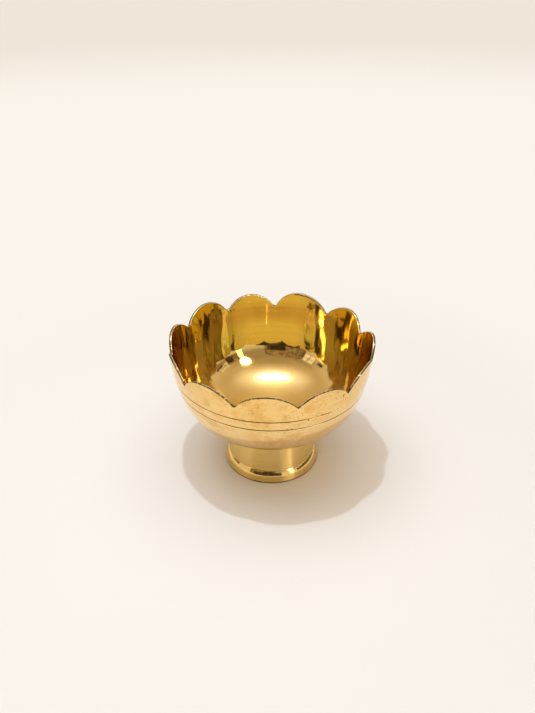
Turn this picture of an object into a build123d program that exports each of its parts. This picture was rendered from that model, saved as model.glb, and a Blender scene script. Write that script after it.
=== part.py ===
from build123d import *
from math import cos, pi, radians, sin, sqrt, tan
import os

# Offering bowl: a turned brass bowl with a rim of petals, brazed onto a hollow turned foot.
# Millimetres and degrees. +Z is up, and the origin is the centre of the foot on the floor.
# One petal is centred on -Y. A lean is measured from upright.

# Bowl, outside, from the petal tips down
mouth_diameter = 100.2      # across the petal tips
wall_lean = 6.8             # of the straight band at the top
wall_band = 11.4            # height of the straight band, from the petal tips down
belly_radius = 78.0         # side curve below the straight band
belly_lean = 19.2           # where the side curve runs into the corner
corner_radius = 30.0        # rounded corner between the side and the bottom
corner_lean = 73.0          # where the corner runs into the shallow bottom
wall_thickness = 1.2

# Petals, cut into the wall from above
petal_count = 11
petal_depth = 8.8           # from a petal's tip down to the notch beside it

# Two lines scribed round the outside
upper_line_drop = 15.4      # from the petal tips down to the upper line
line_spacing = 5.2          # from the upper line down to the lower one
line_width = 0.5
line_depth = 0.25

# Foot, outside, from the floor up
base_diameter = 49.0        # on the floor
band_height = 3.6           # nearly upright band
band_draft = 0.4            # how far the band leans in over its height
shoulder_height = 3.2       # rounded shoulder on top of the band
shoulder_width = 1.6        # how far the shoulder runs in, to the crease under the neck
shoulder_bulge = 0.2        # how far the shoulder swells out from a straight slope
neck_top_diameter = 40.6    # under the bowl
neck_hollow = 0.3           # how far the neck draws in from a straight slope
foot_height = 22.6          # from the floor to the top of the neck
edge_break = 0.3            # broken edges at the floor and on the spigot

# Foot, inside
rest_width = 2.4            # flat ring that stands on the floor
neck_wall = 2.1             # at the top of the neck
socket_relief = 1.4         # straight part of the hollow past the end of the spigot

# Joint between the bowl and the foot
spigot_height = 2.6         # how far the bowl's spigot goes into the socket
spigot_clearance = 0.1      # between the spigot and the socket, all round
seat_drop = 1.2             # from the bowl's curve at the edge of the seat down to the flat seat
braze_land = 1.0            # top of the neck outside the seat, where the brazing takes hold
braze_leg = 1.5             # how far the brazing reaches out under the bowl
braze_hollow = 0.25         # how far the brazing's face draws in from a straight slope

# Spare length on blanks and cutters, so that they pass through what they cut
cut_margin = 3.0

mouth_radius = mouth_diameter / 2
base_radius = base_diameter / 2
band_top_radius = base_radius - band_draft
neck_base_radius = band_top_radius - shoulder_width
neck_top_radius = neck_top_diameter / 2
socket_radius = neck_top_radius - neck_wall
spigot_radius = socket_radius - spigot_clearance
seat_radius = neck_top_radius - braze_land


def bowl_curve(inset):
    """The bowl's side, corner and bottom, drawn in by an inset, with the petal tips at height 0."""
    slope = radians(wall_lean)
    start_radius = mouth_radius - wall_band * tan(slope) - inset * cos(slope)
    start = (start_radius, inset * sin(slope) - wall_band)
    belly = JernArc(start, (-sin(slope), -cos(slope)), belly_radius - inset, wall_lean - belly_lean)
    corner = JernArc(belly @ 1, belly % 1, corner_radius - inset, belly_lean - corner_lean)
    bottom_radius = (corner @ 1).X / cos(radians(corner_lean))
    bottom = JernArc(corner @ 1, corner % 1, bottom_radius, corner_lean - 90)
    return belly, corner, bottom


outside_bottom = bowl_curve(0.0)[2]


def bottom_rise(radius):
    """How far the bowl's shallow bottom, outside, rises from the axis out to a radius."""
    bottom_radius = outside_bottom.radius
    return bottom_radius - sqrt(bottom_radius**2 - radius**2)


bowl_bottom = foot_height + seat_drop - bottom_rise(seat_radius)
rim_height = bowl_bottom - (outside_bottom @ 1).Y


def under_bowl(radius):
    """Height of the bowl's shallow bottom, outside, at a radius."""
    return bowl_bottom + bottom_rise(radius)


def turned(*outline):
    """A solid turned about Z from a closed outline in radius and height."""
    return revolve(Plane.XZ * make_face(outline), Axis.Z)


def drum(radius, low, high):
    """An upright cylinder between two heights."""
    return Pos(0, 0, low) * Cylinder(radius, high - low, align=(Align.CENTER, Align.CENTER, Align.MIN))


def bowed(start, end, bow):
    """An arc that leaves the straight line from start to end by a bow, to its right if positive."""
    middle = (Vector(*start) + Vector(*end)) / 2
    way = (Vector(*end) - Vector(*start)).normalized()
    return ThreePointArc(start, middle + Vector(way.Y, -way.X) * bow, end)


def vessel(inset, spare):
    """The bowl as a full solid, drawn in by an inset, with its wall carried up past the petal tips."""
    belly, corner, bottom = bowl_curve(inset)
    wall_foot = belly @ 0
    lip = (wall_foot.X + (spare - wall_foot.Y) * tan(radians(wall_lean)), spare)
    wall = Line(lip, wall_foot)
    top = Line((0, spare), lip)
    middle = Line((0, spare), bottom @ 1)
    return Pos(0, 0, rim_height) * turned(top, wall, belly, corner, bottom, middle)


def petal_bars():
    """What the petals keep of the wall: a drum to below the notches, and a round bar for each petal."""
    notch_radius = mouth_radius - petal_depth * tan(radians(wall_lean))
    half_chord = notch_radius * sin(pi / petal_count)
    petal_radius = (half_chord**2 + petal_depth**2) / (2 * petal_depth)
    reach = mouth_radius + cut_margin
    bar = Rot(90, 0, 0) * Cylinder(petal_radius, reach / 2, align=(Align.CENTER, Align.CENTER, Align.MIN))
    bar = Pos(0, -reach / 2, rim_height - petal_radius) * bar
    bars = drum(reach, 0, rim_height - petal_depth - cut_margin)
    for petal in range(petal_count):
        bars += Rot(0, 0, 360 / petal_count * petal) * bar
    return bars


def scribed_line(drop):
    """The ring of metal that a scribed line takes out of the wall."""
    skin = vessel(0, 0) - vessel(line_depth, 0)
    middle = rim_height - drop
    return skin & drum(mouth_radius, middle - line_width / 2, middle + line_width / 2)


def make_bowl():
    """The bowl, with its petals, scribed lines, flat seat and spigot."""
    blank = vessel(0, cut_margin)
    blank += drum(seat_radius, foot_height, under_bowl(seat_radius) + wall_thickness)
    spigot = drum(spigot_radius, foot_height - spigot_height, foot_height + wall_thickness)
    spigot = chamfer(spigot.edges().group_by(Axis.Z)[0], edge_break)
    blank += spigot
    blank -= vessel(wall_thickness, 2 * cut_margin)
    bowl = blank & petal_bars()
    for drop in (upper_line_drop, upper_line_drop + line_spacing):
        bowl -= scribed_line(drop)
    return bowl


def make_foot():
    """The hollow foot: a band, a rounded shoulder and a drawn-in neck, with a socket at the top."""
    floor_inside = (base_radius - rest_width, 0)
    floor_outside = (base_radius - edge_break, 0)
    band_foot = (base_radius, edge_break)
    band_top = (band_top_radius, band_height)
    crease = (neck_base_radius, band_height + shoulder_height)
    neck_top = (neck_top_radius, foot_height)
    socket_top = (socket_radius, foot_height)
    socket_foot = (socket_radius, foot_height - spigot_height - socket_relief)
    return turned(
        Line(floor_inside, floor_outside),
        Line(floor_outside, band_foot),
        Line(band_foot, band_top),
        bowed(band_top, crease, shoulder_bulge),
        bowed(crease, neck_top, -neck_hollow),
        Line(neck_top, socket_top),
        Line(socket_top, socket_foot),
        Line(socket_foot, floor_inside),
    )


def make_braze_fillet():
    """The ring of brazing in the corner between the neck, the seat's edge and the bowl's bottom."""
    tip_radius = neck_top_radius + braze_leg
    middle_radius = (seat_radius + tip_radius) / 2
    seat_edge = (seat_radius, foot_height)
    neck_edge = (neck_top_radius, foot_height)
    tip = (tip_radius, under_bowl(tip_radius))
    under_middle = (middle_radius, under_bowl(middle_radius))
    under_seat = (seat_radius, under_bowl(seat_radius))
    return turned(
        Line(seat_edge, neck_edge),
        bowed(neck_edge, tip, -braze_hollow),
        ThreePointArc(tip, under_middle, under_seat),
        Line(under_seat, seat_edge),
    )


os.makedirs("parts", exist_ok=True)
pieces = {"bowl": make_bowl(), "foot": make_foot(), "braze_fillet": make_braze_fillet()}
for name, piece in pieces.items():
    piece.label = name
    export_step(piece, f"parts/{name}.step")
print(f"height to the petal tips {rim_height:.2f} mm, bottom curve radius {outside_bottom.radius:.2f} mm")
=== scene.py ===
from math import asin, atan2, cos, degrees, pi, radians, sin, sqrt, tan

import bmesh
import bpy
from mathutils import Matrix, Vector, noise


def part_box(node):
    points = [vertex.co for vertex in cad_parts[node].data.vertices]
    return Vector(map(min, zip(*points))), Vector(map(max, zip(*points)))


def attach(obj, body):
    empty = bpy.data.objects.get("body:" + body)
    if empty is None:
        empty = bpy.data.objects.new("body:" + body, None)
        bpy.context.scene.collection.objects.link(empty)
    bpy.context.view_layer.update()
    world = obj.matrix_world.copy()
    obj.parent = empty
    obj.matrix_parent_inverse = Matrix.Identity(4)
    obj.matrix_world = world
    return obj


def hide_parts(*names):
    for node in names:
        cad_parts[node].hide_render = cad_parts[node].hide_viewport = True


# Offering bowl: the turned and polished brass of the bowl, its foot and the brazing between them.
# Outlines are in millimetres and degrees, as in the part's source. A lean is measured from upright, and
# sizes across the axis are radii.

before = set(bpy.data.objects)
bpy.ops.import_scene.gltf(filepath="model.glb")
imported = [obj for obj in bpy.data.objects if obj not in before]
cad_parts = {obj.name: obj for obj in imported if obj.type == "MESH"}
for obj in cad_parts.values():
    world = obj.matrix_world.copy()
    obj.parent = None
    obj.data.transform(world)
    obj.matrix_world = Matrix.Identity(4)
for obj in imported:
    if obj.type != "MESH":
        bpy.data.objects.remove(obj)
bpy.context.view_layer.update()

MM = 0.001

# Bowl
MOUTH = 50.02
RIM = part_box("bowl")[1].z / MM
WALL_LEAN = 6.8
WALL_BAND = 11.4
BELLY_RADIUS = 78.0
BELLY_LEAN = 19.2
CORNER_RADIUS = 30.0
CORNER_LEAN = 73.0
WALL = 1.2
PETALS = 11
PETAL_DEPTH = 8.8
LINE_DROPS = (15.4, 20.6)
LINE_WIDTH = 0.5
LINE_DEPTH = 0.25

# The hollow of a scribed line from edge to edge, in shares of its width and depth, and the run beside it
LINE_HOLLOW = ((0.2, 0.65), (0.4, 1.0), (0.6, 1.0), (0.8, 0.65), (1.0, 0.0))
LINE_SIDE = 0.08

# Foot and joint
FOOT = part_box("foot")[1].z / MM
BASE = 24.5
REST_WIDTH = 2.4
BAND_TOP = (24.1, 3.6)
CREASE = (22.5, 6.8)
SHOULDER_RADIUS = 7.6
SHOULDER_LEANS = (-17, -43)
NECK_TOP = 20.3
SOCKET = 18.2
SOCKET_DEPTH = 4.0
SPIGOT = 18.1
SPIGOT_END = FOOT - 2.6
SPIGOT_BREAK = 0.3
SEAT = 19.3
BRAZE_TIP = 21.8

# The camera stands a little to the right of the front petal's middle
FRONT = 3.43

# Columns of faces round each petal, the foot and the brazing
PETAL_COLUMNS = 36
FOOT_COLUMNS = 240
BRAZE_COLUMNS = 180

# The petals were cut by hand, so each differs. From the front petal round to the right, in millimetres and
# degrees: how far its tip is below the highest, how far the tip leans to the right as a share of half a
# petal, and for the notch on its right its turn from an even place, its extra depth and its roundness.
HAND_CUT = (
    (1.25, 0.00, 0.6, -0.4, 0.2),
    (2.10, 0.00, -1.4, 0.4, 0.2),
    (1.60, 0.05, -1.2, 0.4, 0.3),
    (0.05, -0.25, 0.0, -0.3, 0.3),
    (0.05, -0.16, -1.4, -0.4, 0.3),
    (0.05, 0.08, 1.1, 0.8, 1.0),
    (1.05, 0.02, 0.0, 0.2, 1.1),
    (0.05, -0.05, 0.3, -1.2, 0.5),
    (0.05, 0.10, 0.5, -0.5, 0.3),
    (1.40, 0.00, -1.2, 0.7, 0.2),
    (1.30, 0.00, 0.5, 0.4, 0.7),
)

# How far in and below the petal tips the rim's rounded lip goes, from its middle to the wall
ROUNDED_LIP = ((0.40, 0.0), (0.22, 0.0), (0.10, 0.04), (0.03, 0.14), (0.0, 0.30), (0.0, 1.0))

# Where the upper scribed line runs out and begins again, in degrees to the right of the front petal's middle,
# and how many degrees each takes
LINE_END = 35.0
END_FADE = 4.0
LINE_START = 100.0
START_FADE = 15.0

# The middle of the pitted place beside the notch on the right, and the depth of the waves inside
PITTED_SPOT = (17.5, -45.2, 60.5)
WAVE_DEPTH = 0.07

# Finishes of the bowl's faces, and of the foot's, after the first one
INSIDE, EDGE = 1, 2
CAST = 1


class Outline:
    """A half outline drawn from point to point in radius and height, and then turned about the axis."""

    def __init__(self, radius, height):
        self.mesh = bmesh.new()
        self.end = self.mesh.verts.new((radius * MM, 0, height * MM))
        self.start = self.end

    def other_end(self):
        """Goes on from where the outline was begun."""
        self.end, self.start = self.start, self.end
        return self

    def at(self):
        return self.end.co.x / MM, self.end.co.z / MM

    def line(self, radius, height, steps=1):
        stride = (Vector((radius * MM, 0, height * MM)) - self.end.co) / steps
        for _ in range(steps):
            made = bmesh.ops.extrude_vert_indiv(self.mesh, verts=[self.end])
            self.end = made["verts"][0]
            bmesh.ops.translate(self.mesh, verts=[self.end], vec=stride)
        return self

    def curve(self, radius, lean_from, lean_to, steps):
        """An arc that starts at one lean and ends at another, bellied outwards and downwards."""
        lean = radians(lean_from)
        centre = self.end.co + Vector((-cos(lean), 0, sin(lean))) * radius * MM
        made = bmesh.ops.spin(
            self.mesh, geom=[self.end], cent=centre, axis=(0, 1, 0),
            angle=radians(lean_to - lean_from), steps=steps,
        )
        self.end = next(v for v in made["geom_last"] if isinstance(v, bmesh.types.BMVert))
        return self

    def eased(self, *arcs, ease=8.0):
        """A run of arcs, each a radius and two leans, with their bends eased into each other."""
        lengths = [radius * abs(radians(stop - start)) for radius, start, stop in arcs]
        shares = [share / 16 - 0.5 for share in range(17)]

        def lean_at(place):
            bend = 0
            while place > lengths[bend] and bend < len(arcs) - 1:
                place -= lengths[bend]
                bend += 1
            start, stop = arcs[bend][1:]
            return start + (stop - start) * place / lengths[bend]

        def mean_lean(place):
            return sum(lean_at(place + ease * share) for share in shares) / len(shares)

        steps = round(sum(lengths))
        stride = sum(lengths) / steps
        for step in range(steps):
            lean, next_lean = mean_lean(step * stride), mean_lean((step + 1) * stride)
            self.curve(stride / abs(radians(next_lean - lean)), lean, next_lean, 1)
        return self

    def turn(self, columns):
        """The surface turned all the way round, with its seam and poles closed and its faces outwards."""
        bmesh.ops.spin(
            self.mesh, geom=self.mesh.verts[:] + self.mesh.edges[:], cent=(0, 0, 0), axis=(0, 0, 1),
            angle=2 * pi, steps=columns, use_merge=True,
        )
        bmesh.ops.remove_doubles(self.mesh, verts=self.mesh.verts[:], dist=0.002 * MM)
        bmesh.ops.recalc_face_normals(self.mesh, faces=self.mesh.faces[:])
        return self.mesh


def linked(name, data):
    """An object in the scene from its data."""
    made = bpy.data.objects.new(name, data)
    bpy.context.scene.collection.objects.link(made)
    return made


def from_mesh(mesh, name, *finishes):
    """An object from its mesh, with its finishes in order."""
    data = bpy.data.meshes.new(name)
    mesh.to_mesh(data)
    mesh.free()
    for finish in finishes:
        data.materials.append(finish)
    return linked(name, data)


def finished(mesh, name, node, slot, *finishes):
    """A smooth piece from its mesh, in place of a node of the part."""
    for face in mesh.faces:
        face.smooth = True
    piece = from_mesh(mesh, name, *finishes)
    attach(piece, "root")
    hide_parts(node)


def faces_axis(face):
    """Whether a face looks in towards the axis."""
    middle = face.calc_center_median()
    return middle.x * face.normal.x + middle.y * face.normal.y < 0


class Value:
    """A number, colour or vector in a material, with the operators that numbers have."""

    def __init__(self, finish, socket):
        self.finish = finish
        self.socket = socket

    def maths(self, operation, *others):
        return self.finish.node("Math", {"operation": operation}, *others)

    def __add__(self, other):
        return self.maths("ADD", self, other)

    def __radd__(self, other):
        return self.maths("ADD", other, self)

    def __sub__(self, other):
        return self.maths("SUBTRACT", self, other)

    def __rsub__(self, other):
        return self.maths("SUBTRACT", other, self)

    def __mul__(self, other):
        return self.maths("MULTIPLY", self, other)

    def __rmul__(self, other):
        return self.maths("MULTIPLY", other, self)

    def __truediv__(self, other):
        return self.maths("DIVIDE", self, other)

    def __abs__(self):
        return self.maths("ABSOLUTE", self)

    def root(self):
        return self.maths("SQRT", self)

    def between(self, low, high):
        """0 below low and 1 above high, smooth between them, or the other way round."""
        ramp = {"interpolation_type": "SMOOTHSTEP"}
        if low < high:
            return self.finish.node("MapRange", ramp, self, low, high, 0.0, 1.0)
        return self.finish.node("MapRange", ramp, self, high, low, 1.0, 0.0)


class NodeTree:
    """The nodes of a material or of the room's light."""

    def node(self, kind, settings, *values, out=0, **named):
        """A node of a kind, with its settings first and then the values or links of its sockets."""
        made = self.tree.nodes.new("ShaderNode" + kind)
        for setting, choice in settings.items():
            setattr(made, setting, choice)
        sockets = list(zip(made.inputs, values))
        sockets += [(made.inputs[name.replace("_", " ")], value) for name, value in named.items()]
        for socket, value in sockets:
            self.feed(socket, value)
        return Value(self, made.outputs[out])

    def feed(self, socket, value):
        if isinstance(value, Value):
            self.tree.links.new(value.socket, socket)
        else:
            socket.default_value = value

    def vector(self, x, y, z):
        return self.node("CombineXYZ", {}, x, y, z)

    def grain(self, spot, scale, detail=2.0, roughness=0.5):
        return self.node("TexNoise", {}, Vector=spot, Scale=scale, Detail=detail, Roughness=roughness)

    def mixed(self, amount, first, second):
        """From the first colour to the second."""
        mix = self.tree.nodes.new("ShaderNodeMix")
        mix.data_type = "RGBA"
        for name, value in (("Factor_Float", amount), ("A_Color", first), ("B_Color", second)):
            self.feed(next(s for s in mix.inputs if s.identifier == name), value)
        return Value(self, next(s for s in mix.outputs if s.identifier == "Result_Color"))


class RoomLight(NodeTree):
    """The light that comes from all round."""

    def __init__(self, name):
        world = bpy.data.worlds.new(name)
        world.use_nodes = True
        self.tree = world.node_tree
        self.light = self.tree.nodes["Background"]
        bpy.context.scene.world = world


class Finish(NodeTree):
    """A material with one Principled shader, and its Object coordinates and radius in millimetres."""

    def __init__(self, name, **constants):
        self.material = bpy.data.materials.new(name)
        self.material.use_nodes = True
        self.tree = self.material.node_tree
        self.shader = self.tree.nodes["Principled BSDF"]
        for socket, constant in constants.items():
            self.shader.inputs[socket.replace("_", " ")].default_value = constant
        place = self.node("TexCoord", {}, out="Object")
        self.x, self.y, self.z = [self.node("SeparateXYZ", {}, place, out=axis) * (1 / MM) for axis in "XYZ"]
        self.radius = (self.x * self.x + self.y * self.y).root()
        self.spot = self.vector(self.x, self.y, self.z)

    def bump(self, height, depth):
        """A relief of a depth in millimetres."""
        return self.node("Bump", {}, Strength=1.0, Distance=depth * MM, Height=height)

    def wear(self, **sockets):
        for socket, value in sockets.items():
            self.feed(self.shader.inputs[socket.replace("_", " ")], value)
        return self.material


BRASS = (0.935, 0.63, 0.235, 1)
# Pale brass: a random paler tone, and also painted light on the lower outside and on the filed edge's inner
# side
PALE_BRASS = (0.955, 0.695, 0.325, 1)
FLOOR_BRASS = (0.76, 0.49, 0.155, 1)
# Painted reflection colours of the inside wall: more golden than the outside, and darker and olive at its
# sides
GOLDEN_BRASS = (0.885, 0.685, 0.21, 1)
SIDE_REFLECTION_BRASS = (0.72, 0.58, 0.17, 1)
BROWN_BRASS = (0.34, 0.165, 0.045, 1)
STAINED_BRASS = (0.79, 0.455, 0.12, 1)
# Dull brass for real dull streaks, also painted as shade on the outside's left and right
DULL_AND_SHADED_BRASS = (0.66, 0.40, 0.13, 1)
DARK_BRASS = (0.085, 0.052, 0.018, 1)
FOOT_BRASS = (0.87, 0.60, 0.19, 1)
PALE_FOOT_BRASS = (0.87, 0.61, 0.22, 1)
BRAZING = (0.42, 0.32, 0.12, 1)
# Painted glints on the outside
PAINTED_GLINT = (1.0, 0.9, 0.7, 1)
# Painted shade of the filed edge's outer side
EDGE_SHADE_DARK = (0.035, 0.023, 0.012, 1)
# The darkest patches on the filed edge
PATCH_DARK = (0.02, 0.013, 0.006, 1)


class TurnedBrass(Finish):
    """Brass that was turned on a lathe and polished: fine lines round the axis, pits and old stains."""

    def __init__(self, name, **constants):
        super().__init__(name, Metallic=1.0, Anisotropic_Rotation=0.25, **constants)

    def lines(self, pitch, stretch):
        """Lines long round the axis, with a pitch in millimetres along the outline."""
        along = (self.z + self.radius) / pitch
        ring = self.vector(self.x / self.radius * stretch, self.y / self.radius * stretch, along)
        return self.grain(ring, 1.0)

    def pits(self, size, limit):
        """Ragged specks of a size in millimetres, where the grain is above a limit."""
        ragged = self.grain(self.spot, 1 / size, 4.0, 0.62)
        return (ragged - limit).between(0.0, 0.02)

    def dashes(self, length, limit):
        """Short marks along the turning direction, where the grain is above a limit."""
        slimness = 3.2
        rim_radius = 50
        along = (self.z + self.radius) * slimness / length
        ring = rim_radius / length
        place = self.vector(self.x / self.radius * ring, self.y / self.radius * ring, along)
        return (self.grain(place, 1.0, 3.0, 0.6) - limit).between(0.0, 0.05)

    def patches(self, size):
        return self.grain(self.spot, 1 / size, 3.0, 0.6)


def satin_brass(name):
    """The bowl's outside, with its scribed lines, most of its marks beside the notch on the right, a painted
    paler belly, painted shade at left and right, and painted glints.
    """
    brass = TurnedBrass(name, Anisotropic=0.2)
    fine, broad, clouds = brass.lines(0.3, 1.5), brass.lines(0.9, 0.9), brass.patches(26)
    pitted = brass.node("VectorMath", {"operation": "DISTANCE"}, brass.spot, PITTED_SPOT, out="Value")
    worn = brass.patches(15).between(0.40, 0.7) * 0.04 + pitted.between(18.0, 5.0) * 0.045
    specks = brass.pits(1.2, 0.690 - worn)
    dashes = brass.dashes(2.0, 0.655 - worn)
    stains = brass.patches(7).between(0.44, 0.64) * brass.patches(33).between(0.38, 0.58)
    # Painted glints: small bright flecks between the scribed lines
    painted_glints = brass.pits(0.6, 0.70) * brass.z.between(RIM - 20, RIM - 15)
    turn = brass.node("Math", {"operation": "ARCTAN2"}, brass.x, 0.0 - brass.y)
    kept = turn.between(radians(LINE_END + END_FADE), radians(LINE_END))
    kept = kept + turn.between(radians(LINE_START), radians(LINE_START + START_FADE))
    upper, lower = [abs(brass.z - (RIM - drop)).between(0.30, 0.12) for drop in LINE_DROPS]
    dark = brass.node("Math", {"operation": "MAXIMUM"}, specks * 0.9, upper * kept + lower)
    # Painted light: the lower outside is painted halfway to pale brass, a painted brightening of what it
    # mirrors
    belly = brass.z.between(RIM - 14, RIM - 20)
    colour = brass.mixed(clouds.between(0.35, 0.75) * 0.5 + belly * 0.5, BRASS, PALE_BRASS)
    # Painted shade: the wall at the left and right is painted partly towards dull brass, to darken it there
    sides = abs(brass.x).between(18.0, 46.0) * brass.z.between(RIM - 18, RIM - 11)
    colour = brass.mixed(stains * 0.75, colour, STAINED_BRASS)
    colour = brass.mixed(broad.between(0.45, 0.7) * 0.2 + sides * 0.3, colour, DULL_AND_SHADED_BRASS)
    colour = brass.mixed(dashes * 0.55, colour, BROWN_BRASS)
    colour = brass.mixed(painted_glints * 0.5, colour, PAINTED_GLINT)
    polish = 0.05 - belly * 0.02
    uneven = (fine - 0.5) * 0.03 + clouds.between(0.45, 0.8) * 0.03
    return brass.wear(
        Base_Color=brass.mixed(dark, colour, DARK_BRASS),
        Roughness=polish + uneven + dark * 0.3,
        Normal=brass.bump(fine * 0.6 + broad * 1.1 - specks * 5.0, 0.0025),
    )


def mirror_brass(name):
    """The bowl's inside: a mirror up the wall, painted more golden than the outside and darker and more olive
    at both sides as painted reflection, and a softer shine on the floor.
    """
    brass = TurnedBrass(name, Anisotropic=0.5)
    fine, broad, clouds = brass.lines(0.35, 1.2), brass.lines(2.2, 0.8), brass.patches(20)
    specks = brass.pits(0.8, 0.70 - brass.patches(17).between(0.5, 0.8) * 0.06)
    floor = brass.radius.between(45.0, 24.0)
    # Painted reflection: the wall is painted more golden than the outside, and darker and more olive at left
    # and right
    wall = brass.mixed(abs(brass.x).between(28.0, 44.0), GOLDEN_BRASS, SIDE_REFLECTION_BRASS)
    colour = brass.mixed(brass.radius.between(45.0, 41.0), wall, FLOOR_BRASS)
    colour = brass.mixed(clouds.between(0.4, 0.8) * 0.2, colour, PALE_BRASS)
    colour = brass.mixed(broad.between(0.5, 0.75) * 0.2, colour, DULL_AND_SHADED_BRASS)
    polish = 0.045 + floor * 0.185
    uneven = (fine - 0.5) * 0.03 + clouds.between(0.5, 0.8) * 0.03
    return brass.wear(
        Base_Color=brass.mixed(specks * 0.6, colour, DARK_BRASS),
        Roughness=polish + uneven + specks * 0.3,
        Normal=brass.bump(fine * 0.5 + broad * 0.8 - specks * 4.0, 0.003),
    )


def foot_brass(name):
    """The foot's outside: brushed round on the band and the neck, polished on the shoulder, and with painted
    shade along its bottom edge.
    """
    brass = TurnedBrass(name, Anisotropic=1.0)
    fine, broad, clouds = brass.lines(0.3, 1.5), brass.lines(1.8, 0.9), brass.patches(18)
    specks = brass.pits(0.7, 0.70 - brass.patches(13).between(0.5, 0.75) * 0.06)
    band_top, crease = BAND_TOP[1], CREASE[1]
    shoulder = brass.z.between(band_top - 0.1, band_top + 0.4) * brass.z.between(crease + 0.4, crease - 0.1)
    # Painted shade: the lowest 0.8 mm of the foot darkens to dark brass, a painted contact shadow
    contact_shade = brass.z.between(0.8, 0.4)
    colour = brass.mixed(clouds.between(0.35, 0.75), FOOT_BRASS, PALE_FOOT_BRASS)
    colour = brass.mixed(broad.between(0.5, 0.8) * 0.25, colour, DULL_AND_SHADED_BRASS)
    dark = brass.node("Math", {"operation": "MAXIMUM"}, specks * 0.6, contact_shade)
    return brass.wear(
        Base_Color=brass.mixed(dark, colour, DARK_BRASS),
        Roughness=0.29 - shoulder * 0.20 + (fine - 0.5) * 0.08 + specks * 0.2,
        Normal=brass.bump(fine * 0.6 + broad * 1.1 - specks * 5.0, 0.004),
    )


def filed_brass(name):
    """The cut edge of the rim: a painted highlight towards the inside, painted shade outside with painted
    glints, and darker in patches and in the notches.
    """
    finish = Finish(name, Metallic=1.0)
    marks = finish.grain(finish.spot, 1.8, 3.0, 0.7)
    outside = MOUTH - (RIM - finish.z) * tan(radians(WALL_LEAN)) - finish.radius
    # Painted shade on the outer side of the cut edge, and a painted highlight of pale brass on its inner side
    shaded_outside = (outside + (marks - 0.5) * 1.1).between(0.95, 0.55)
    notches = finish.z.between(RIM - PETAL_DEPTH + 2.0, RIM - PETAL_DEPTH + 0.2)
    # Darker patches on the edge, more of them low in the notches
    dark_patches = (finish.grain(finish.spot, 0.9, 4.0, 0.65) + notches * 0.25).between(0.50, 0.66)
    # Painted glints in the painted shade of the edge
    painted_glints = finish.grain(finish.spot, 1.3, 2.0, 0.6).between(0.57, 0.66)
    colour = finish.mixed(shaded_outside - shaded_outside * painted_glints, PALE_BRASS, EDGE_SHADE_DARK)
    colour = finish.mixed(dark_patches * 0.9, colour, PATCH_DARK)
    return finish.wear(
        Base_Color=colour,
        Roughness=0.14 + shaded_outside * 0.2 + marks * 0.15,
        Normal=finish.bump(marks, 0.05),
    )


def cast_brass(name):
    """The unpolished inside of the foot, as it came from the mould."""
    finish = Finish(name, Metallic=1.0)
    sand = finish.grain(finish.spot, 1.4, 4.0, 0.65)
    clouds = finish.grain(finish.spot, 0.12, 3.0, 0.6)
    colour = finish.mixed(clouds.between(0.35, 0.7), DULL_AND_SHADED_BRASS, DARK_BRASS)
    return finish.wear(Base_Color=colour, Roughness=0.45 + sand * 0.25, Normal=finish.bump(sand, 0.15))


def brazing_metal(name):
    """The brazing, wiped smooth while it was hot, and duller than the brass."""
    finish = Finish(name, Metallic=1.0)
    ripple = finish.grain(finish.spot, 0.8, 3.0, 0.6)
    scale = finish.grain(finish.spot, 0.35, 3.0, 0.6).between(0.5, 0.75)
    colour = finish.mixed(scale, BRAZING, DARK_BRASS)
    return finish.wear(Base_Color=colour, Roughness=0.3 + ripple * 0.2, Normal=finish.bump(ripple, 0.06))


def belly_lean_at(height):
    """The lean of the bowl's side at a height below the straight band, outside."""
    start = RIM - WALL_BAND
    return degrees(asin(sin(radians(WALL_LEAN)) + (start - height) / BELLY_RADIUS))


def belly_radius_at(height):
    """The radius of the bowl's side at a height below the straight band, outside."""
    slope = radians(WALL_LEAN)
    drawn_in = BELLY_RADIUS * (cos(slope) - cos(radians(belly_lean_at(height))))
    return MOUTH - WALL_BAND * tan(slope) - drawn_in


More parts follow.
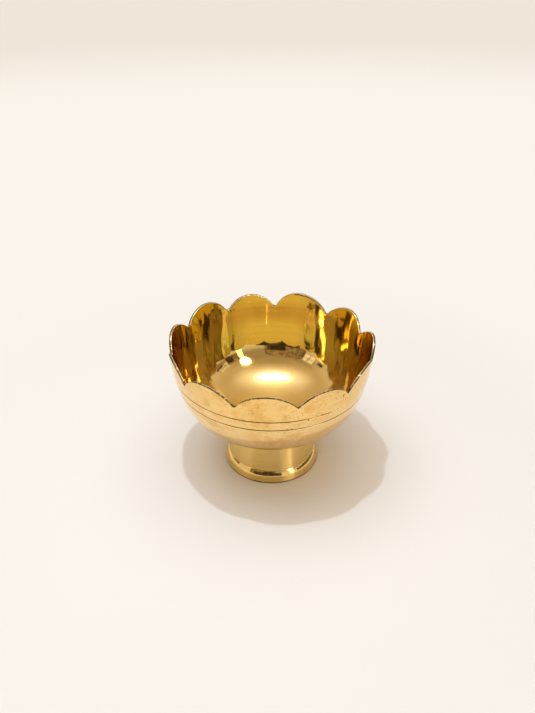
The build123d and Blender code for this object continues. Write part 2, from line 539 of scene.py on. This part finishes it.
def bowl_outline():
    """From the middle of the rim down the outside to the spigot, and down the inside to the floor."""
    slope = radians(WALL_LEAN)

    def on_wall(depth_in, below):
        """A point in the wall, so far in from the outside and so far below the petal tips."""
        return MOUTH - depth_in - below * tan(slope), RIM - below

    outline = Outline(*on_wall(WALL / 2, 0.0))
    for depth_in, below in ROUNDED_LIP:
        outline.line(*on_wall(depth_in, below))
    outline.line(*on_wall(0.0, WALL_BAND), steps=9)
    lean = WALL_LEAN
    for drop in LINE_DROPS:
        top = belly_lean_at(RIM - drop + LINE_WIDTH / 2 + LINE_SIDE)
        outline.curve(BELLY_RADIUS, lean, top, 4)
        lip = belly_lean_at(RIM - drop + LINE_WIDTH / 2)
        outline.curve(BELLY_RADIUS, top, lip, 1)
        radius, height = outline.at()
        for share, deep in LINE_HOLLOW:
            fall = share * LINE_WIDTH
            outline.line(radius - fall * tan(radians(lip)) - deep * LINE_DEPTH, height - fall)
        lean = belly_lean_at(outline.at()[1] - LINE_SIDE)
        outline.curve(BELLY_RADIUS, belly_lean_at(outline.at()[1]), lean, 1)
    belly_in = BELLY_RADIUS * (cos(radians(lean)) - cos(radians(BELLY_LEAN)))
    corner_in = CORNER_RADIUS * (cos(radians(BELLY_LEAN)) - cos(radians(CORNER_LEAN)))
    under_radius = (outline.at()[0] - belly_in - corner_in) / cos(radians(CORNER_LEAN))
    seat_lean = degrees(pi / 2 - asin(SEAT / under_radius))
    outline.eased(
        (BELLY_RADIUS, lean, BELLY_LEAN), (CORNER_RADIUS, BELLY_LEAN, CORNER_LEAN),
        (under_radius, CORNER_LEAN, seat_lean), ease=4.0,
    )
    outline.line(SEAT, FOOT)
    outline.line(SPIGOT, FOOT, steps=2)
    outline.line(SPIGOT, SPIGOT_END + SPIGOT_BREAK, steps=2)
    outline.line(SPIGOT - SPIGOT_BREAK, SPIGOT_END)
    outline.line(0, SPIGOT_END, steps=6)

    # The last of the straight wall is a very slight arc, so that its bend can be eased too
    run_in, slight = 4.0, 0.05
    floor_lean = 89
    band_end = WALL_BAND - WALL * sin(slope)
    outline.other_end()
    for depth_in, below in ROUNDED_LIP:
        outline.line(*on_wall(WALL - depth_in, below))
    outline.line(*on_wall(WALL, band_end - run_in), steps=7)
    inner_belly, inner_corner = BELLY_RADIUS - WALL, CORNER_RADIUS - WALL
    belly_in = inner_belly * (cos(slope) - cos(radians(BELLY_LEAN)))
    corner_in = inner_corner * (cos(radians(BELLY_LEAN)) - cos(radians(CORNER_LEAN)))
    floor_edge = on_wall(WALL, band_end)[0] - belly_in - corner_in
    floor_radius = floor_edge / cos(radians(CORNER_LEAN))
    outline.eased(
        (run_in / radians(slight), WALL_LEAN - slight, WALL_LEAN), (inner_belly, WALL_LEAN, BELLY_LEAN),
        (inner_corner, BELLY_LEAN, CORNER_LEAN), (floor_radius, CORNER_LEAN, floor_lean),
    )
    outline.line(0, outline.at()[1] - 0.01)
    return outline


def petal_at(turn):
    """The petal at an even turn in degrees, and the place on it from -1 at its left notch to 1."""
    step = 360 / PETALS
    petal = round(turn / step)
    return petal % PETALS, 2 * (turn / step - petal)


def petal_drop(petal, place):
    """How far the rim is below the highest tip at a place on a petal."""
    tip, skew = HAND_CUT[petal][:2]
    deeper, roundness = HAND_CUT[petal if place > 0 else petal - 1][3:]
    half_chord = (MOUTH - PETAL_DEPTH * tan(radians(WALL_LEAN))) * sin(pi / PETALS)
    depth = PETAL_DEPTH + deeper - tip
    arc = (half_chord**2 + depth**2) / (2 * depth)
    leaned = place - skew * (1 - place**2)
    drop = tip + arc - sqrt(arc**2 - (half_chord * leaned)**2)
    slope = 2 * half_chord * PETAL_DEPTH / (half_chord**2 - PETAL_DEPTH**2)
    aslant = sqrt(1 + slope**2)
    away = half_chord * (1 - abs(place))
    if away < roundness * slope / aslant:
        drop = PETAL_DEPTH + deeper - roundness * aslant + sqrt(roundness**2 - away**2)
    return drop


def notch_turn(petal, place):
    """How far the rim is turned from an even place by the notches each side of it."""
    left, right = HAND_CUT[petal - 1][2], HAND_CUT[petal][2]
    return left + (right - left) * (place + 1) / 2


def cut_petals(mesh):
    """Draws the upper wall down to the petals' edge, with its lip kept whole."""
    foot_of_cut = RIM - WALL_BAND + 0.4
    lip = 1.0
    file_depth, file_marks = 0.2, 60
    for vert in mesh.verts:
        height = vert.co.z / MM
        if height <= foot_of_cut:
            continue
        petal, place = petal_at(degrees(atan2(vert.co.x, -vert.co.y)))
        share = min(1, (height - foot_of_cut) / (RIM - lip - foot_of_cut))
        filed = file_depth * abs(noise.noise(vert.co.xy.normalized().to_3d() * file_marks))
        fall = (petal_drop(petal, place) + filed) * share
        turn = radians(notch_turn(petal, place)) * share
        vert.co.z -= fall * MM
        radius = vert.co.xy.length
        out = vert.co.xy.normalized() * (radius - fall * MM * tan(radians(WALL_LEAN)))
        vert.co.x = out.x * cos(turn) - out.y * sin(turn)
        vert.co.y = out.x * sin(turn) + out.y * cos(turn)


def fade_line(mesh):
    """Fills the upper scribed line on the right, where it was polished away."""
    middle = RIM - LINE_DROPS[0]
    for vert in mesh.verts:
        radius, height = vert.co.xy.length / MM, vert.co.z / MM
        if abs(height - middle) > LINE_WIDTH / 2:
            continue
        depth = belly_radius_at(height) - radius
        if depth > WALL / 2:
            continue
        turn = degrees(atan2(vert.co.x, -vert.co.y))
        filled = min(1, max(0, (turn - LINE_END) / END_FADE))
        filled -= min(1, max(0, (turn - LINE_START) / START_FADE))
        vert.co.xy *= 1 + depth * filled / radius


def wave_wall(mesh):
    """The slight waves that hand polishing left in the inside of the wall."""
    kept = {v for face in mesh.faces if face.material_index != INSIDE for v in face.verts}
    # Where the waves begin and are full, out from the axis, and how far below the rim they fade
    begin, full, rim_fade = 33, 41, 3
    # How close the broad and the fine waves are round the bowl, and how tall they are
    broad_rate, broad_height = 5.2, 22
    fine_rate, fine_height = 12, 16
    for vert in mesh.verts:
        if vert in kept:
            continue
        out = vert.co.xy.normalized()
        radius, height = vert.co.xy.length / MM, vert.co.z / MM
        edge = RIM - petal_drop(*petal_at(degrees(atan2(vert.co.x, -vert.co.y))))
        share = min(1, max(0, (radius - begin) / (full - begin))) * min(1, (edge - height) / rim_fade)
        wave = noise.noise((out.x * broad_rate, out.y * broad_rate, height / broad_height))
        fine = noise.noise((out.x * fine_rate, out.y * fine_rate, height / fine_height + 7))
        wave += (0.35 + 0.9 * out.x**2) * fine
        move = out * wave * WAVE_DEPTH * share * MM
        vert.co.x += move.x
        vert.co.y += move.y


def make_bowl():
    """The bowl, with its petals cut, its upper line faded and its inside waved."""
    mesh = bowl_outline().turn(PETALS * PETAL_COLUMNS)
    cut_petals(mesh)
    fade_line(mesh)
    mesh.normal_update()
    level, aslope = 0.999, 0.45
    lowest_edge, least_radius = RIM - PETAL_DEPTH - 4, 45
    for face in mesh.faces:
        middle = face.calc_center_median() / MM
        if middle.z > FOOT + 0.1 and (faces_axis(face) or face.normal.z > level):
            face.material_index = INSIDE
        if face.normal.z > aslope and middle.z > lowest_edge and middle.xy.length > least_radius:
            face.material_index = EDGE
    wave_wall(mesh)
    finished(
        mesh, "bowl_dressed", "bowl", "bowl_brass",
        satin_brass("Satin turned brass"),
        mirror_brass("Mirror polished brass"),
        filed_brass("Filed brass edge"),
    )


def make_foot():
    """The foot, with eased edges on its band and a crease under its neck."""
    outline = Outline(BASE - REST_WIDTH, 0)
    outline.line(BASE - 0.35, 0, steps=2)
    outline.line(BASE - 0.16, 0.06)
    outline.line(BASE - 0.05, 0.18)
    outline.line(BASE - 0.03, 0.40)
    outline.line(BAND_TOP[0] + 0.02, BAND_TOP[1] - 0.15, steps=4)
    outline.line(*BAND_TOP)
    outline.line(BAND_TOP[0] - 0.02, BAND_TOP[1] + 0.06)
    outline.curve(SHOULDER_RADIUS, *SHOULDER_LEANS, 10)
    outline.line(CREASE[0] - 0.10, CREASE[1] - 0.08)
    outline.line(CREASE[0] - 0.14, CREASE[1] + 0.12)
    outline.line(NECK_TOP, FOOT, steps=14)
    outline.line(SOCKET, FOOT, steps=2)
    outline.line(SOCKET, FOOT - SOCKET_DEPTH, steps=2)
    outline.line(BASE - REST_WIDTH, 0, steps=8)
    mesh = outline.turn(FOOT_COLUMNS)
    for face in mesh.faces:
        if faces_axis(face) and face.calc_center_median().z > 0:
            face.material_index = CAST
    finished(
        mesh, "foot_dressed", "foot", "foot_brass",
        foot_brass("Turned foot brass"),
        cast_brass("Rough cast brass"),
    )


def make_brazing():
    """The ring of brazing, hollow on its face, between the neck and the bowl."""
    tip_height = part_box("braze_fillet")[1].z / MM
    outline = Outline(SEAT, FOOT)
    outline.line(NECK_TOP, FOOT, steps=2)
    outline.line(NECK_TOP + 0.35, FOOT + 0.30)
    outline.line(NECK_TOP + 0.85, FOOT + 0.68)
    outline.line(BRAZE_TIP, tip_height)
    outline.line(SEAT, FOOT + 0.4, steps=3)
    outline.line(SEAT, FOOT)
    brazing = brazing_metal("Brazing metal")
    finished(outline.turn(BRAZE_COLUMNS), "brazing_dressed", "braze_fillet", "braze_brass", brazing)


make_bowl()
make_foot()
make_brazing()


def around(azimuth, distance, height):
    """A place round the bowl, at degrees to the right of the camera, in metres."""
    turn = radians(azimuth + FRONT)
    return Vector((distance * sin(turn), -distance * cos(turn), height))


def lamp(name, place, width, height, power, colour, target=None):
    """A round-edged soft lamp that faces a target, or straight down."""
    data = bpy.data.lights.new(name, "AREA")
    data.shape = "ELLIPSE"
    data.size = width
    data.size_y = height
    data.energy = power
    data.color = colour
    made = linked(name, data)
    made.location = place
    made.rotation_euler = (0, 0, radians(FRONT))
    if target is not None:
        made.rotation_euler = (target - place).to_track_quat("-Z", "Y").to_euler()
    return made


def stage_piece(mesh, name, *paints):
    """A part of the studio from its mesh."""
    made = from_mesh(mesh, name, *paints)
    return made


# The light of the room from behind and overhead, and what it fades to towards the camera
ROOM_LIGHT = (0.73, 0.645, 0.53, 1)
DIM_LIGHT = (0.46, 0.40, 0.32, 1)

# The studio's paint in two shades, and darker far out, and the tones that it shows away from the bowl
PAINT = (0.90, 0.862, 0.84, 1)
PALE_PAINT = (0.93, 0.892, 0.87, 1)
FAR_PAINT = (0.48, 0.46, 0.43, 1)
FLOOR_TONE = (0.965, 0.905, 0.825, 1)
BEND_TONE = (0.865, 0.79, 0.695, 1)
WALL_TONE = (0.86, 0.79, 0.75, 1)

# The brightest tone of the cloth overhead
CLOTH_GLOW = (1.7, 1.8, 2.1, 1)


def studio_paint():
    """Paint that takes light and shadow round the bowl, and shows set tones further out."""
    paint = Finish("Pale studio paint", Roughness=0.9)
    clouds = paint.grain(paint.spot, 0.008, 3.0, 0.6)
    far = paint.radius.between(80.0, 240.0)
    pale = paint.mixed(clouds, PAINT, PALE_PAINT)
    paint.wear(Base_Color=paint.mixed(paint.radius.between(240.0, 420.0), pale, FAR_PAINT))
    tone = paint.mixed(paint.z.between(0.0, 90.0), FLOOR_TONE, BEND_TONE)
    tone = paint.mixed(paint.z.between(150.0, 650.0), tone, WALL_TONE)
    tone = paint.mixed(paint.z.between(900.0, 1500.0), tone, ROOM_LIGHT)
    tone = paint.mixed(paint.z.between(500.0, 850.0) * paint.y.between(0.0, -1000.0), tone, DIM_LIGHT)
    glow = paint.node("Emission", {}, Color=tone, Strength=1.0)
    seen = paint.node("LightPath", {}, out="Is Camera Ray")
    seen = seen + paint.node("LightPath", {}, out="Is Glossy Ray")
    seen = seen + paint.node("LightPath", {}, out="Is Transmission Ray")
    coat = Value(paint, paint.shader.outputs["BSDF"])
    both = paint.node("MixShader", {}, far * seen, coat, glow)
    paint.feed(paint.tree.nodes["Material Output"].inputs["Surface"], both)
    return paint.material


def card_cloth(name, dark, pale):
    """Blotched cloth over a card."""
    cloth = Finish(name, Roughness=0.9)
    blotches = cloth.grain(cloth.spot, 0.012, 2.0)
    return cloth.wear(Base_Color=cloth.mixed(blotches.between(0.35, 0.65), dark, pale))


DARK_CARD = card_cloth("Dark cloth", (0.02, 0.014, 0.008, 1), (0.13, 0.09, 0.05, 1))
BROWN_CARD = card_cloth("Brown cloth", (0.24, 0.19, 0.13, 1), (0.66, 0.55, 0.40, 1))


def upright(mesh, azimuth, distance, width, low, high):
    """Stands a flat square up round the bowl, so wide and between two heights, in metres."""
    bmesh.ops.scale(mesh, verts=mesh.verts[:], vec=(width, high - low, 1))
    for angle, axis in ((pi / 2, "X"), (radians(azimuth + FRONT), "Z")):
        bmesh.ops.rotate(mesh, verts=mesh.verts[:], matrix=Matrix.Rotation(angle, 3, axis))
    bmesh.ops.translate(mesh, verts=mesh.verts[:], vec=around(azimuth, distance, (low + high) / 2))


def mirrored_only(piece):
    """Leaves a piece of the studio to be seen in the polished metal alone."""
    piece.visible_camera = False
    piece.visible_diffuse = False
    piece.visible_shadow = False
    piece.visible_transmission = False


def card(name, cloth, *place):
    """A card outside the view that gives the polished metal something dark to mirror."""
    mesh = bmesh.new()
    bmesh.ops.create_grid(mesh, x_segments=1, y_segments=1, size=0.5)
    upright(mesh, *place)
    mirrored_only(stage_piece(mesh, name, cloth))


def lamp_front(name, colour, strength):
    """The cloth of a soft lamp, a little brighter in places."""
    cloth = Finish(name, Roughness=0.9, Emission_Strength=strength)
    clouds = cloth.grain(cloth.spot, 0.015)
    dim = [part * 0.7 for part in colour[:3]] + [1]
    return cloth.wear(Emission_Color=cloth.mixed(clouds.between(0.35, 0.65), dim, colour))


def ceiling_cloth(middle, width, depth):
    """A round cloth overhead, brightest in its middle, for the floor of the bowl to mirror."""
    mesh = bmesh.new()
    bmesh.ops.create_circle(mesh, cap_ends=True, segments=64, radius=0.5)
    bmesh.ops.scale(mesh, verts=mesh.verts[:], vec=(width, depth, 1))
    bmesh.ops.translate(mesh, verts=mesh.verts[:], vec=middle)
    cloth = Finish("Ceiling cloth", Base_Color=(0, 0, 0, 1), Roughness=0.9, Emission_Strength=1.0)
    across = (cloth.x - middle.x / MM) / (width / 2 / MM)
    along = (cloth.y - middle.y / MM) / (depth / 2 / MM)
    inwards = (across * across + along * along).root().between(1.0, 0.1)
    cloth.wear(Emission_Color=cloth.mixed(inwards, ROOM_LIGHT, CLOTH_GLOW))
    mirrored_only(stage_piece(mesh, "Ceiling cloth", cloth.material))


def grid_light(name, front, columns, rows, *place):
    """A soft lamp behind a grid of dark bars, for the polished metal to mirror."""
    bar_width = 0.006
    mesh = bmesh.new()
    bmesh.ops.create_grid(mesh, x_segments=columns, y_segments=rows, size=0.5)
    upright(mesh, *place)
    bars = bmesh.ops.inset_individual(mesh, faces=mesh.faces[:], thickness=bar_width)["faces"]
    for bar in bars:
        bar.material_index = 1
    mirrored_only(stage_piece(mesh, name, front, DARK_CARD))


# Each card's name, cloth, azimuth, distance, width, and lower and upper height
CARDS = (
    ("Brown card in front", BROWN_CARD, -20, 0.80, 0.95, 0.05, 0.80),
    ("Dark card in front", DARK_CARD, -6, 0.62, 0.28, 0.01, 0.42),
    ("Low dark card in front", DARK_CARD, -9, 0.60, 0.74, 0.0, 0.29),
    ("Brown card on the right", BROWN_CARD, 70, 0.74, 0.60, 0.36, 0.62),
    ("Low dark card on the right", DARK_CARD, 93, 0.72, 0.95, 0.03, 0.23),
    ("Dark card on the right", DARK_CARD, 88, 0.62, 0.16, 0.385, 0.425),
    ("Dark card beside the window", DARK_CARD, 66, 0.62, 0.15, 0.30, 0.48),
    ("Low dark card on the left", DARK_CARD, -101, 0.72, 0.50, 0.12, 0.28),
    ("Dark card on the left", DARK_CARD, -80, 0.62, 0.10, 0.36, 0.44),
)

COOL_FRONT = lamp_front("Cool lamp front", (0.85, 0.95, 1.2, 1), 0.8)
DIM_FRONT = lamp_front("Dim lamp front", (1.0, 0.92, 0.76, 1), 0.55)
BRIGHT_FRONT = lamp_front("Bright lamp front", (1.0, 0.95, 0.85, 1), 3.5)
WARM_FRONT = lamp_front("Warm lamp front", (1.0, 0.93, 0.82, 1), 2.2)

# Each grid light's name, front, columns and rows, and then its place as for a card
GRID_LIGHTS = (
    ("Grid light on the left", COOL_FRONT, 2, 2, -60, 0.66, 0.20, 0.34, 0.58),
    ("Grid light on the right", DIM_FRONT, 3, 2, 82, 0.66, 0.22, 0.40, 0.58),
    ("Strip light on the right", BRIGHT_FRONT, 1, 6, 47, 0.66, 0.13, 0.01, 0.50),
    ("Strip light behind", WARM_FRONT, 1, 3, -171, 0.70, 0.04, 0.50, 0.70),
)


def studio_room():
    """A pale floor that curves up into a wall all round, and the light of the room."""
    floor_edge, bend, wall_top = 950, 450, 1500
    sweep = Outline(0, 0).line(floor_edge, 0, steps=12).curve(bend, 90, 0, 16)
    sweep.line(sweep.at()[0], wall_top, steps=4)
    mesh = sweep.turn(96)
    bmesh.ops.reverse_faces(mesh, faces=mesh.faces[:])
    for face in mesh.faces:
        face.smooth = True
    stage_piece(mesh, "Studio floor", studio_paint())

    room = RoomLight("Room light")
    spot = room.node("TexCoord", {}, out="Generated")
    forwards = 0.0 - room.node("SeparateXYZ", {}, spot, out="Y")
    room.feed(room.light.inputs["Color"], room.mixed(forwards.between(0.15, 0.85), ROOM_LIGHT, DIM_LIGHT))


def studio_lamps():
    """Lamps that light the floor but aren't mirrored, and lamps and cards that are only mirrored."""
    bowl = Vector((0, 0, 0.04))
    blue_white, cool_white = (0.68, 0.84, 1.0), (0.80, 0.90, 1.0)
    key = lamp("Key", around(-71, 0.064, 0.68), 0.018, 0.018, 1.1, blue_white)
    side = lamp("Soft light on the left", around(-97, 0.24, 0.70), 0.45, 0.45, 0.75, cool_white, bowl)
    front = lamp("Soft light in front", around(0, 0.75, 0.80), 0.45, 0.45, 1.0, (1.0, 0.85, 0.55), bowl)
    above = lamp("Soft light above", around(0, 0.0, 1.1), 1.4, 1.4, 4.8, (0.95, 0.95, 0.95))
    for hidden in (key, side, front, above):
        hidden.visible_glossy = False
    shining = lamp("Ceiling lamp", around(-153, 0.035, 0.70), 0.31, 0.17, 1.1, (0.76, 0.88, 1.0))
    ceiling_cloth(around(-153, 0.035, 0.71), 1.1, 0.76)
    window = lamp("Window", around(46, 0.80, 0.83), 0.27, 0.32, 3.0, (1.0, 0.97, 0.92), bowl)
    for mirrored in (shining, window):
        mirrored.visible_diffuse = False
    for row in CARDS:
        card(*row)
    for row in GRID_LIGHTS:
        grid_light(*row)


def camera():
    """The camera at the photograph's place. Its focal length and the picture's height are in pixels."""
    focal_length, picture_height = 650, 713
    data = bpy.data.cameras.new("Camera")
    data.sensor_width = 36
    data.lens = data.sensor_width * focal_length / picture_height
    data.clip_start = 0.01
    made = linked("Camera", data)
    made.location = (0.01626, -0.27133, 0.22870)
    made.rotation_euler = (radians(58.284), radians(0.238), radians(3.688))
    bpy.context.scene.camera = made


studio_room()
studio_lamps()
camera()
bpy.context.scene.view_settings.view_transform = "Standard"
# The bowl's inside mirrors itself several times over
bpy.context.scene.cycles.glossy_bounces = 10
